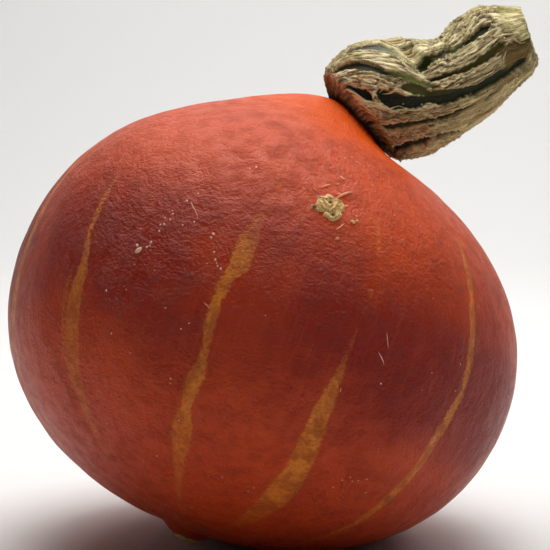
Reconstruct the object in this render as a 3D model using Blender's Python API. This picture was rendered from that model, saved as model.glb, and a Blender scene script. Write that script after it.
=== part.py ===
"""Red kuri squash: a round fruit drawn out to a low neck, with a thick, bent, corky stem.

The fruit lies as it comes to rest, on a small flat spot, with its stem up and to the right and
its blossom end low on the left. Metres, +Z up. The origin is the middle of the flat spot, on the
surface that the fruit rests on.
"""
import math

import bmesh
import bpy
import numpy as np
from mathutils import Matrix, Vector, noise

# How the fruit lies: the middle of its body above the flat spot, and the lean of its axis
HEART = Vector((-0.0104, -0.0074, 0.0672))
LEAN_RIGHT = math.radians(20.0)
LEAN_BACK = math.radians(13.0)

# The fruit, about its own axis: +Z is the stem's end, -Z the blossom end
GIRTH_RADIUS = 0.0808
HALF_HEIGHT = 0.0666
FULLNESS = 0.086          # how much fuller the shoulders are than an ellipse
BOTTOM_HEAVY = 0.014      # how much wider it is below the middle than above
POLE_DRIFT = -0.0038      # both ends sit to one side of the middle
TOP_DRIFT = -0.0023       # and the upper end a little more so
RIBS = 12
RIB_DEPTH = 0.0003
RIB_TURN = math.radians(-82.5)  # the longitude of one rib's crest
FRUIT_SEGMENTS = 64
FRUIT_RINGS = 42
POLE_CROWDING = 0.2       # draws the rings towards the two ends, where the shape turns most

# The neck, a low blunt cone under the stem
NECK_RISE = 0.0126
NECK_RADIUS = 0.0200
NECK_SHIFT = -0.0114
NECK_LEAN = math.radians(27.0)
NECK_BACK = math.radians(7.0)
NECK_BLUNTNESS = 2.4
NECK_DEPTH = 1.22         # how much broader it is from front to back than from side to side
NECK_FADE = (-0.1, 0.4)   # the heights, as shares of the fruit's own, between which it sets in

# The button at the blossom end
BUTTON_RISE = 0.0024
BUTTON_RADIUS = 0.0068
BUTTON_GROOVE = 0.0006
BUTTON_GROOVE_AT = 1.45   # the groove round the button: its middle and width, in button radii
BUTTON_GROOVE_WIDTH = 0.35

# The corky scar on the shoulder and two scabs below it: longitude, angle from the stem, radius
SCARS = (
    (math.radians(-84.0), math.radians(59.0), 0.0031),
    (math.radians(-76.6), math.radians(60.9), 0.0011),
    (math.radians(-78.0), math.radians(64.4), 0.0010),
)
SCAR_FLATNESS = 0.45
SCAR_ROUGHNESS = 0.16     # how far its surface is off a smooth one, as a share of its radius
SCAR_GRAIN = 0.4          # and how far apart its bumps are, as a share of the same

# The stem, ring by ring from inside the neck to its cut end, in the plane of the fruit's axis:
# the upper edge's x and z, the lower edge's x and z, and half the ring's depth
STEM_PROFILE = (
    (0.0140, 0.0695, 0.0328, 0.0513, 0.0095),
    (0.0200, 0.0761, 0.0392, 0.0576, 0.0120),
    (0.0195, 0.0830, 0.0420, 0.0559, 0.0165),
    (0.0219, 0.0873, 0.0443, 0.0555, 0.0175),
    (0.0270, 0.0918, 0.0464, 0.0557, 0.0182),
    (0.0350, 0.0948, 0.0496, 0.0564, 0.0182),
    (0.0436, 0.0951, 0.0530, 0.0573, 0.0176),
    (0.0500, 0.0944, 0.0568, 0.0592, 0.0168),
    (0.0542, 0.0945, 0.0623, 0.0625, 0.0162),
    (0.0568, 0.0958, 0.0674, 0.0660, 0.0157),
    (0.0597, 0.0995, 0.0736, 0.0706, 0.0153),
    (0.0636, 0.1024, 0.0781, 0.0753, 0.0148),
    (0.0694, 0.1053, 0.0823, 0.0797, 0.0140),
    (0.0759, 0.1053, 0.0865, 0.0838, 0.0122),
    (0.0834, 0.1055, 0.0888, 0.0887, 0.0100),
)
STEM_SEGMENTS = 96
STEM_RINGS = 44
FOOT_SHARE = 0.045        # the share of the rings that close the foot, inside the neck
END_SHARE = 0.09          # and the share that close the cut end
END_HOLLOW = 0.0015
END_TURN = math.radians(12.0)   # the cut face looks a little to the back
END_TURN_FROM = 0.8             # where along the stem that turn begins

# Grooves along the stem: degrees from the upper edge towards the front, on the hump over the
# neck and on the limb past the fold
GROOVES = (
    (25, 24), (50, 53), (74, 93), (93, 127), (120, 155), (154, 188), (190, 214),
    (216, 238), (243, 260), (268, 282), (293, 300), (318, 318), (344, 344),
)
GROOVE_DEPTH = 0.0011
GROOVE_HALF_WIDTH = math.radians(7.0)
GROOVE_FADE = (1.04, 0.84)      # along the stem: where a fading groove would end, where it sets in
GROOVE_AT_END = 0.25            # the share of its depth that a groove keeps at the cut end
TWIST = (0.42, 0.72)            # the stretch of the stem over which the grooves turn

# The crease where the stem folds on its upper, front side
FOLD_ALONG = 0.465
FOLD_SKEW = 0.085
FOLD_WIDTH = 0.032
FOLD_AROUND = math.radians(50.0)
FOLD_SPREAD = math.radians(32.0)
FOLD_DEPTH = 0.0032

GAP = 0.0003              # between the stem's foot and the neck that it is grown to


def clear_scene():
    for thing in list(bpy.data.objects):
        bpy.data.objects.remove(thing)


def material(name, colour, roughness):
    """A plain coloured finish."""
    finish = bpy.data.materials.new(name)
    finish.use_nodes = True
    shader = finish.node_tree.nodes["Principled BSDF"]
    shader.inputs["Base Color"].default_value = (*colour, 1.0)
    shader.inputs["Roughness"].default_value = roughness
    shader.inputs["Metallic"].default_value = 0.0
    return finish


def object_from(bm, name, finish, parent):
    """A smooth-shaded object that holds the bmesh, placed by its parent."""
    mesh = bpy.data.meshes.new(name)
    bm.normal_update()
    bm.to_mesh(mesh)
    bm.free()
    mesh.shade_smooth()
    mesh.materials.append(finish)
    thing = bpy.data.objects.new(name, mesh)
    thing.parent = parent
    bpy.context.scene.collection.objects.link(thing)
    return thing


def unit_ball(segments, rings):
    """A ball of rings, with each point's longitude and its angle down from the upper pole."""
    bm = bmesh.new()
    bmesh.ops.create_uvsphere(bm, u_segments=segments, v_segments=rings, radius=1.0)
    points = np.array([vert.co for vert in bm.verts])
    around = np.arctan2(points[:, 1], points[:, 0])
    down = np.arccos(np.clip(points[:, 2], -1.0, 1.0))
    return bm, around, down


def move_to(bm, points):
    for vert, point in zip(bm.verts, points):
        vert.co = point


def neck_lift(x, y, z, height):
    """How far each point is drawn out towards the stem, and the direction that it is drawn in."""
    direction = np.array([
        math.sin(NECK_LEAN) * math.cos(NECK_BACK),
        math.sin(NECK_BACK),
        math.cos(NECK_LEAN) * math.cos(NECK_BACK),
    ])
    from_top = np.stack([x - NECK_SHIFT, y, z - HALF_HEIGHT], axis=-1)
    along = from_top @ direction
    off_axis = from_top - along[..., None] * direction
    off_axis = np.linalg.norm(off_axis / (1.0, NECK_DEPTH, 1.0), axis=-1)
    near = np.exp(-((off_axis / NECK_RADIUS) ** NECK_BLUNTNESS))
    fade_from, fade_to = NECK_FADE
    upper = np.clip((height - fade_from) / (fade_to - fade_from), 0.0, 1.0)
    return (NECK_RISE * near * upper)[..., None] * direction


def fruit_skin(around, down):
    """Points of the skin in the fruit's own frame, at a longitude and an angle from the stem."""
    height = np.cos(down)
    bulge = 1 + FULLNESS * height**2 - BOTTOM_HEAVY * height**3
    girth = GIRTH_RADIUS * np.sin(down) * bulge
    girth = girth + RIB_DEPTH * np.sin(down) ** 2 * np.cos(RIBS * (around - RIB_TURN))
    x = girth * np.cos(around) + POLE_DRIFT * height**2 + TOP_DRIFT * height**3
    y = girth * np.sin(around)
    z = HALF_HEIGHT * height
    from_tip = girth / BUTTON_RADIUS
    below = height < 0
    z = z - below * BUTTON_RISE * np.exp(-(from_tip**4))
    from_groove = (from_tip - BUTTON_GROOVE_AT) / BUTTON_GROOVE_WIDTH
    z = z + below * BUTTON_GROOVE * np.exp(-(from_groove**2))
    points = np.stack([x, y, z], axis=-1)
    return points + neck_lift(x, y, z, height)


def fruit_body():
    """The whole skin as one closed ball of rings, before its flat spot."""
    bm, around, down = unit_ball(FRUIT_SEGMENTS, FRUIT_RINGS)
    crowded = down - POLE_CROWDING * np.sin(2 * down)
    move_to(bm, fruit_skin(around, crowded))
    return bm


def cut_flat_spot(bm, fruit_to_row):
    """Cuts the skin level with the surface that the fruit rests on."""
    to_local = fruit_to_row.inverted()
    everything = bm.verts[:] + bm.edges[:] + bm.faces[:]
    bmesh.ops.bisect_plane(
        bm, geom=everything, dist=1e-6, plane_co=to_local.translation,
        plane_no=to_local.to_3x3() @ Vector((0, 0, -1)), clear_outer=True,
    )
    rim = [edge for edge in bm.edges if edge.is_boundary]
    bmesh.ops.holes_fill(bm, edges=rim, sides=0)
    bmesh.ops.recalc_face_normals(bm, faces=bm.faces[:])


def scar(bm, around, down, radius):
    """A low corky lump sunk half into the skin."""
    step = math.radians(0.5)
    spot = fruit_skin(np.array(around), np.array(down))
    beside = fruit_skin(np.array(around + step), np.array(down)) - spot
    below = fruit_skin(np.array(around), np.array(down + step)) - spot
    outward = Vector(np.cross(below, beside)).normalized()
    turn = outward.to_track_quat("Z", "Y").to_matrix().to_4x4()
    squash = Matrix.Diagonal((radius, radius, radius * SCAR_FLATNESS, 1.0))
    lump = bmesh.ops.create_icosphere(bm, subdivisions=2, radius=1.0)["verts"]
    bmesh.ops.transform(bm, matrix=Matrix.Translation(spot) @ turn @ squash, verts=lump)
    for vert in lump:
        vert.co += outward * SCAR_ROUGHNESS * radius * noise.noise(vert.co / (SCAR_GRAIN * radius))


def fruit(heart):
    skin = material("squash_rind", (0.34, 0.035, 0.012), 0.42)
    bm = fruit_body()
    lean = Matrix.Rotation(LEAN_RIGHT, 4, "Y")
    cut_flat_spot(bm, heart.matrix_basis @ lean)
    body = object_from(bm, "fruit", skin, heart)
    body.rotation_euler = lean.to_euler()

    bm = bmesh.new()
    for around, down, radius in SCARS:
        scar(bm, around, down, radius)
    lumps = object_from(bm, "scar_lumps", skin, body)
    lumps.hide_render = True
    lumps.display_type = "WIRE"
    join = body.modifiers.new("scars", "BOOLEAN")
    join.operation = "UNION"
    join.object = lumps
    return body


def smooth_profile(along):
    """The stem's profile at each share of its length, on a smooth curve through its rings."""
    rings = np.array(STEM_PROFILE)
    place = np.clip(along, 0.0, 1.0) * (len(rings) - 1)
    first = np.minimum(place.astype(int), len(rings) - 2)
    part = (place - first)[..., None]
    before = rings[np.maximum(first - 1, 0)]
    here = rings[first]
    after = rings[first + 1]
    beyond = rings[np.minimum(first + 2, len(rings) - 1)]
    leave = (after - before) / 2
    arrive = (beyond - here) / 2
    rise = after - here
    return here + part * (leave + part * (3 * rise - 2 * leave - arrive
                                          + part * (leave + arrive - 2 * rise)))


def turned_by(angle, target):
    """The signed angle from the target, between -pi and pi."""
    return (angle - target + math.pi) % (2 * math.pi) - math.pi


def groove_depth(around, along):
    """How deep the lengthwise grooves cut, at each point of the stem."""
    turn = np.clip((along - TWIST[0]) / (TWIST[1] - TWIST[0]), 0.0, 1.0)
    turn = turn * turn * (3 - 2 * turn)
    cut = np.zeros_like(around)
    for on_hump, on_limb in GROOVES:
        middle = np.radians(on_hump + (on_limb - on_hump) * turn)
        cut += np.exp(-((turned_by(around, middle) / GROOVE_HALF_WIDTH) ** 2))
    fade = (GROOVE_FADE[0] - along) / (GROOVE_FADE[0] - GROOVE_FADE[1])
    fade = np.clip(fade, GROOVE_AT_END, 1.0)
    return GROOVE_DEPTH * fade * np.minimum(cut, 1.0)


def fold_depth(around, along):
    """How deep the skewed crease cuts where the stem folds."""
    off_middle = turned_by(around, FOLD_AROUND)
    crease = FOLD_ALONG + FOLD_SKEW * off_middle
    across = np.exp(-(((along - crease) / FOLD_WIDTH) ** 2))
    return FOLD_DEPTH * across * np.exp(-((off_middle / FOLD_SPREAD) ** 2))


def stem_skin(around, along, spread):
    """Points of the stem, by their turn from its upper edge to the front, their place along it
    and their share of the way out from its middle."""
    ring = smooth_profile(along)
    upper = np.stack([ring[:, 0], np.zeros(len(ring)), ring[:, 1]], axis=-1)
    lower = np.stack([ring[:, 2], np.zeros(len(ring)), ring[:, 3]], axis=-1)
    middle = (upper + lower) / 2
    across = (upper - lower) / 2
    half_width = np.linalg.norm(across, axis=-1)
    cut = groove_depth(around, along) + fold_depth(around, along)
    share = spread * (1 - cut / half_width)
    across = across * (share * np.cos(around))[:, None]
    depth = -ring[:, 4] * share * np.sin(around)
    points = middle + across
    points[:, 1] += depth
    return points


def end_shift(depth, along, spread):
    """Turns the cut end a little to the back, and hollows it."""
    upper_x, upper_z, lower_x, lower_z, _ = STEM_PROFILE[-1]
    outward = np.array([upper_z - lower_z, 0.0, lower_x - upper_x])
    outward = outward / np.linalg.norm(outward)
    near_end = np.clip((along - END_TURN_FROM) / (1 - END_TURN_FROM), 0.0, 1.0)
    hollow = (along >= 1.0) * END_HOLLOW * (1 - spread**2)
    return (depth * math.tan(END_TURN) * near_end**2 - hollow)[:, None] * outward


def stem(heart, body):
    bm, around, down = unit_ball(STEM_SEGMENTS, STEM_RINGS)
    from_foot = down / math.pi
    along = (from_foot - FOOT_SHARE) / (1 - FOOT_SHARE - END_SHARE)
    along = np.clip(along, 0.0, 1.0)
    spread = np.minimum(from_foot / FOOT_SHARE, (1 - from_foot) / END_SHARE)
    spread = np.clip(spread, 0.0, 1.0)
    points = stem_skin(around, along, spread)
    points += end_shift(points[:, 1], along, spread)
    move_to(bm, points)
    bmesh.ops.recalc_face_normals(bm, faces=bm.faces[:])
    cork = material("stem_cork", (0.27, 0.21, 0.10), 0.85)
    stalk = object_from(bm, "stem", cork, heart)
    fit_to_neck(stalk, body, cork)
    return stalk


def fit_to_neck(stalk, body, finish):
    """Cuts the stem's foot to the neck's own shape, a gap away from it."""
    bm = fruit_body()
    bm.normal_update()
    for vert, outward in [(vert, vert.normal.copy()) for vert in bm.verts]:
        vert.co += GAP * outward
    cutter = object_from(bm, "neck_cutter", finish, body)
    cutter.hide_render = True
    cutter.display_type = "WIRE"
    cut = stalk.modifiers.new("fit_to_neck", "BOOLEAN")
    cut.operation = "DIFFERENCE"
    cut.object = cutter


def main():
    clear_scene()
    heart = bpy.data.objects.new("heart", None)
    heart.location = HEART
    heart.rotation_euler = (-LEAN_BACK, 0.0, 0.0)
    bpy.context.scene.collection.objects.link(heart)
    body = fruit(heart)
    stem(heart, body)
    bpy.context.view_layer.update()


main()
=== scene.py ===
"""Looks of the red kuri squash: a waxy orange-red rind with ochre stripes, and a bent corky stem.

Metres, +Z up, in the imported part's own frame: the origin is the middle of the flat spot that the
fruit rests on, the stem's end points to +X and the side with the corky scar looks to -Y.
"""
import math
import random

import bmesh
import bpy
import numpy as np
from mathutils import Matrix, Vector, noise
from mathutils.bvhtree import BVHTree


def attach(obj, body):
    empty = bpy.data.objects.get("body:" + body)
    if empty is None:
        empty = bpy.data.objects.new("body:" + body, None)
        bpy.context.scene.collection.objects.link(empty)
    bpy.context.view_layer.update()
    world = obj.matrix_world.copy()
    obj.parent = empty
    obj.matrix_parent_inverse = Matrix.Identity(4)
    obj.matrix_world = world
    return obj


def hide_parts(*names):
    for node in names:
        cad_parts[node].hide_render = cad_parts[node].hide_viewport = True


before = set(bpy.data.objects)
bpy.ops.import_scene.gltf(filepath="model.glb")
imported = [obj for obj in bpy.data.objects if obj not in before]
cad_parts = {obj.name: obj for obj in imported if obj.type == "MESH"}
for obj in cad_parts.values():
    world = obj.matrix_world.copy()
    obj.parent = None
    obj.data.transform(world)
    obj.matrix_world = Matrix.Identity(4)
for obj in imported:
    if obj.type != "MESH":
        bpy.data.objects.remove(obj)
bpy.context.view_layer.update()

MM = 0.001

# How the fruit lies, as in the solid model: the middle of its body, and the lean of its axis
HEART = Vector((-0.0104, -0.0074, 0.0672))
LEAN_RIGHT = math.radians(20.0)
LEAN_BACK = math.radians(13.0)

# The fruit about its own axis, as in the solid model: +Z is the stem's end
GIRTH_RADIUS = 0.0808
HALF_HEIGHT = 0.0666
FULLNESS = 0.086
BOTTOM_HEAVY = 0.014
POLE_DRIFT = -0.0038
TOP_DRIFT = -0.0023
RIBS = 12
RIB_DEPTH = 0.0003
RIB_TURN = math.radians(-82.5)
NECK_RISE = 0.0126
NECK_RADIUS = 0.0200
NECK_SHIFT = -0.0114
NECK_LEAN = math.radians(27.0)
NECK_BACK = math.radians(7.0)
NECK_BLUNTNESS = 2.4
NECK_DEPTH = 1.22
NECK_FADE = (-0.1, 0.4)
BUTTON_RISE = 0.0024
BUTTON_RADIUS = 0.0068
BUTTON_GROOVE = 0.0006
BUTTON_GROOVE_AT = 1.45
BUTTON_GROOVE_WIDTH = 0.35

FRUIT_CUTS = 127          # cuts along each edge of the cube that the fruit is blown up from

# The skin's zones, in degrees from the stem, and the orange neck's in mm from its top
PLAIN_UNDER_STEM = 14.0
RED_BELT = 91.0
RED_BELT_WIDTH = 27.0
PALER_LOW_END = (100.0, 135.0)
ORANGE_NECK = (22.0, 56.0)
STREAK_SQUEEZE = 0.07     # lengths are read this much shorter, which draws the streaks out
WRINKLE_SQUEEZE = 0.72    # girths are read so, which draws the wrinkles round the fruit

# The ochre stripes that the photograph shows, each from its upper end down:
# angle from the stem and longitude in degrees, width in mm, strength
STRIPES = (
    ((69, -134, 0.8, 0.9), (77, -134, 1.9, 1), (85, -133.5, 2.1, 1), (91, -131.8, 2.2, 1),
     (96, -131.4, 4.2, 0.9), (101, -131.6, 5.4, 0.8), (110, -130.6, 6, 0.7),
     (122, -129, 5, 0.6), (129, -126.8, 3, 0.5), (138, -124.4, 2, 0.4), (154, -119, 1, 0.3)),
    ((94, -134.4, 0.6, 0.5), (101, -134.8, 1.3, 0.6), (110, -133.6, 1.3, 0.6),
     (119, -132, 1, 0.5)),
    ((44, -96.8, 1.2, 0.1), (61, -95.6, 1.8, 0.15), (68, -96.8, 2.4, 0.2), (73, -97.4, 3.8, 0.4),
     (76, -97.6, 5.6, 0.8), (80, -97.6, 6, 1), (84, -97.6, 6, 1), (86, -98.8, 3.6, 1),
     (94, -99.2, 3.3, 1), (98, -99.1, 3, 1), (103, -98.3, 2.2, 1), (107, -98, 2.4, 1),
     (111, -98, 5, 1), (114, -98.3, 4, 1), (119, -98.4, 3.4, 0.9), (125, -98, 6, 0.9),
     (130, -97.4, 5, 0.8), (137, -97, 3, 0.6), (145, -96, 2.2, 0.5), (155, -95.2, 1, 0.3)),
    ((56, -70.8, 0.8, 0.2), (60, -70.8, 1.8, 0.5), (66, -70.4, 1.6, 0.4), (69, -70.4, 0.2, 0.2),
     (75, -70.4, 0.4, 0.3), (78, -70.4, 2, 0.4), (80, -70.6, 0.2, 0.2), (91, -71.2, 1.2, 0.3),
     (96, -71.3, 1.4, 0.7), (100, -71.2, 2.8, 1), (105, -71.2, 4.6, 1), (110, -71, 6, 1),
     (118, -69.8, 6.6, 1), (124, -68.8, 7, 1), (130, -68.4, 7.5, 1), (137, -68, 7.5, 0.8),
     (142, -68.2, 6.5, 0.6), (148, -68.4, 5, 0.4), (156, -68.5, 2, 0.2)),
    ((50, -42.6, 0.8, 0.6), (54, -42.6, 2, 0.9), (63, -42.8, 2.8, 1), (70, -42.8, 2.8, 1),
     (77, -42, 3.4, 1), (87, -41.2, 3, 1), (91, -40.8, 2.4, 1), (97, -41.6, 3.8, 1),
     (105, -42, 3.6, 1), (113, -41.2, 3.3, 1), (124, -40.8, 3.6, 0.9), (134, -39.6, 2.8, 0.7),
     (143, -38.8, 2, 0.5), (152, -38, 1, 0.3)),
)

# Longitudes of the stripes on the sides that it doesn't show
HIDDEN_STRIPES = (-11.0, 19.0, 48.5, 78.0, 108.0, 137.5, 167.0, -163.0)

# Dents of the skin that the photograph shows: longitude and angle from the stem in degrees,
# radius in mm, depth in mm
DENTS = (
    (-85.6, 48.5, 4.0, 0.55), (-88.4, 58.0, 3.0, 0.4), (-81.0, 51.0, 2.6, 0.35),
    (-83.0, 66.0, 3.2, 0.3), (-78.0, 57.0, 3.0, 0.3), (-136.8, 71.0, 2.6, 0.5),
    (-103.0, 40.0, 6.0, 0.25), (-93.8, 66.0, 2.4, 0.35), (-93.6, 61.0, 2.0, 0.25),
)
LOOSE_DENTS = 70

# The corky scar on the shoulder, lobe by lobe, and the slivers and scabs of cork round it:
# longitude and angle from the stem in degrees; radii, half widths and heights in mm
SCAR_LOBES = (
    (-83.4, 59.0, 3.6, 3.5, 1.3), (-82.2, 61.0, 2.8, 2.5, 1.0), (-81.2, 58.2, 2.0, 2.4, 1.0),
    (-84.9, 60.6, 2.2, 1.7, 0.8), (-86.4, 61.2, 1.0, 1.0, 0.6),
)
SCAR_HOLES = ((-82.0, 61.9, 0.7), (-86.4, 61.5, 0.8), (-83.1, 58.8, 0.5))
SLIVERS = (
    (((-82.2, 56.8), (-81.3, 55.4), (-80.0, 53.9), (-78.7, 52.7), (-77.6, 51.9)), 0.42, 0.7),
    (((-80.8, 58.8), (-80.2, 58.4), (-79.2, 57.4), (-78.3, 56.3)), 0.3, 0.45),
    (((-86.2, 54.9), (-85.0, 53.7), (-83.6, 52.2)), 0.34, 0.5),
    (((-82.9, 51.3), (-81.9, 51.2), (-81.3, 50.2)), 0.26, 0.35),
    (((-81.2, 47.2), (-80.5, 48.4), (-79.4, 47.9)), 0.4, 0.3),
    (((-88.0, 55.8), (-87.3, 55.7), (-86.7, 56.4)), 0.24, 0.35),
    (((-82.0, 54.9), (-81.2, 54.3), (-80.6, 54.0)), 0.26, 0.35),
    (((-75.9, 38.8), (-75.2, 38.6), (-74.4, 38.9)), 0.35, 0.35),
    (((-80.8, 65.3), (-79.9, 64.2), (-79.0, 62.5)), 0.22, 0.25),
)
SCABS = ((-77.2, 61.4, 0.8), (-76.2, 60.6, 0.5), (-80.0, 67.5, 0.7))

# Pale crumbs and nicks, partly dried wax and dust and partly painted glints on the skin's small
# bumps: longitude, angle from the stem, radius in mm
CRUMBS = (
    (-118.8, 86.7, 0.95), (-119.6, 85.6, 0.50), (-117.2, 85.4, 0.36), (-116.7, 84.0, 0.50),
    (-116.7, 84.9, 0.3), (-118.4, 90.3, 0.2), (-123.2, 98.3, 0.36), (-103.2, 81.5, 0.3),
    (-102.4, 83.2, 0.3), (-101.9, 84.0, 0.24), (-101.5, 84.5, 0.3), (-100.7, 84.9, 0.34),
    (-103.7, 84.8, 0.2), (-116.0, 80.7, 0.34), (-116.4, 79.1, 0.3), (-115.6, 78.7, 0.36),
    (-114.8, 75.5, 0.34), (-115.2, 74.7, 0.24), (-116.0, 77.1, 0.26), (-114.8, 77.1, 0.3),
    (-111.6, 77.5, 0.26), (-109.6, 75.9, 0.36), (-113.2, 71.1, 0.4), (-104.8, 77.3, 0.4),
    (-104.9, 78.3, 0.3), (-103.6, 56.3, 0.3), (-102.4, 55.2, 0.34), (-66.0, 53.9, 0.3),
    (-76.4, 59.1, 0.3), (-79.6, 39.1, 0.3), (-76.8, 37.1, 0.3), (-89.2, 91.9, 0.2),
    (-84.4, 135.9, 0.25), (-75.2, 135.5, 0.22), (-89.6, 152.3, 0.3), (-103.6, 136.3, 0.26),
    (-62.0, 97.1, 0.34), (-43.2, 91.5, 0.2), (-31.2, 101.1, 0.2), (-51.6, 89.9, 0.2),
    (-52.4, 94.7, 0.2), (-119.2, 107.9, 0.26), (-118.4, 96.7, 0.22), (-113.6, 111.1, 0.24),
    (-57.6, 126.3, 0.3), (-57.2, 123.5, 0.26), (-56.0, 121.9, 0.32), (-54.8, 122.7, 0.24),
    (-53.6, 121.9, 0.26), (-52.0, 120.7, 0.24), (-48.8, 124.3, 0.3), (-99.2, 123.5, 0.2),
    (-119.2, 131.9, 0.22),
)
LOOSE_CRUMBS = 110
SCRATCHES = (
    ((-112.4, 70.8), (-111.3, 72.2), (-110.0, 73.4), (-108.8, 75.2)),
    ((-101.7, 93.8), (-100.8, 94.1), (-100.0, 94.8)),
    ((-65.2, 90.3), (-64.0, 91.3), (-62.9, 92.7)),
    ((-64.8, 85.1), (-64.1, 87.0), (-63.3, 88.7)),
    ((-69.6, 101.5), (-69.3, 102.7)),
)

# The stem ring by ring, as in the solid model: the upper edge's x and z, the lower edge's x and
# z, and half the ring's depth
STEM_PROFILE = (
    (0.0140, 0.0695, 0.0328, 0.0513, 0.0095),
    (0.0200, 0.0761, 0.0392, 0.0576, 0.0120),
    (0.0195, 0.0830, 0.0420, 0.0559, 0.0165),
    (0.0219, 0.0873, 0.0443, 0.0555, 0.0175),
    (0.0270, 0.0918, 0.0464, 0.0557, 0.0182),
    (0.0350, 0.0948, 0.0496, 0.0564, 0.0182),
    (0.0436, 0.0951, 0.0530, 0.0573, 0.0176),
    (0.0500, 0.0944, 0.0568, 0.0592, 0.0168),
    (0.0542, 0.0945, 0.0623, 0.0625, 0.0162),
    (0.0568, 0.0958, 0.0674, 0.0660, 0.0157),
    (0.0597, 0.0995, 0.0736, 0.0706, 0.0153),
    (0.0636, 0.1024, 0.0781, 0.0753, 0.0148),
    (0.0694, 0.1053, 0.0823, 0.0797, 0.0140),
    (0.0759, 0.1053, 0.0865, 0.0838, 0.0122),
    (0.0834, 0.1055, 0.0888, 0.0887, 0.0100),
)
STEM_LENGTH = 0.095       # along its middle
STEM_RADIUS = 0.019       # over the neck
STEM_SIDES = 460
STEM_ROWS = 214
FOOT_ROWS = 7             # rows of the foot's underside, against the neck
END_ROWS = 22             # rows of the cut face

# The cut face: its depths, its slant, and where the wall starts to follow that slant
END_HOLLOW = 0.0017
END_RAYS = 0.00035
END_PITH = 0.0012
END_WEAR = 0.0010
END_TURN = math.radians(12.0)
END_TURN_FROM = 0.8
SEAM_GAP = 0.0003         # between the foot and the neck

# How the stem's fibres run: each line starts with the angle that stands for it, then gives
# places along the stem and its angle there, in degrees from the upper edge towards the front
FIBRES = (
    (4, (0, 4), (1, 4)),
    (40, (0.1, 10), (0.2, 17), (0.26, 22.5), (0.31, 31), (0.36, 41), (0.4, 55), (0.445, 69),
     (0.46, 66), (0.5, 61), (0.555, 57.5), (0.62, 58), (0.7, 65.5), (0.8, 67), (1, 67)),
    (66, (0.05, 22), (0.12, 30), (0.17, 36), (0.22, 44.5), (0.28, 59.5), (0.335, 76),
     (0.385, 83), (0.415, 86.5), (0.5, 87.5), (0.6, 88), (0.65, 90), (0.7, 93.5), (0.74, 97),
     (0.84, 98), (1, 98)),
    (97, (0.05, 45), (0.1, 53), (0.14, 61), (0.19, 79), (0.225, 87), (0.26, 94), (0.3, 99.5),
     (0.35, 102), (0.42, 103), (0.465, 103), (0.51, 104.5), (0.55, 108), (0.645, 115),
     (0.72, 123), (0.8, 130), (0.91, 137), (1, 139)),
    (124, (0, 90), (0.09, 108), (0.145, 118.5), (0.215, 123.5), (0.29, 126), (0.39, 127.5),
     (0.44, 127), (0.54, 130), (0.625, 134.5), (0.7, 141), (0.8, 148), (1, 155)),
    (153, (0, 172), (0.08, 164.5), (0.155, 156), (0.3, 153.5), (0.43, 149.5), (0.485, 150),
     (0.53, 155), (0.62, 161), (0.66, 167), (0.75, 174), (1, 178)),
    (196, (0, 192), (0.3, 196), (0.6, 210), (1, 214)),
    (222, (0, 218), (0.3, 222), (0.6, 236), (1, 240)),
    (246, (0, 243), (0.3, 247), (0.6, 257), (1, 262)),
    (270, (0, 266), (0.3, 271), (0.6, 279), (1, 284)),
    (295, (0, 292), (0.4, 296), (1, 302)),
    (318, (0, 316), (1, 320)),
    (342, (0, 342), (1, 344)),
)

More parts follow.
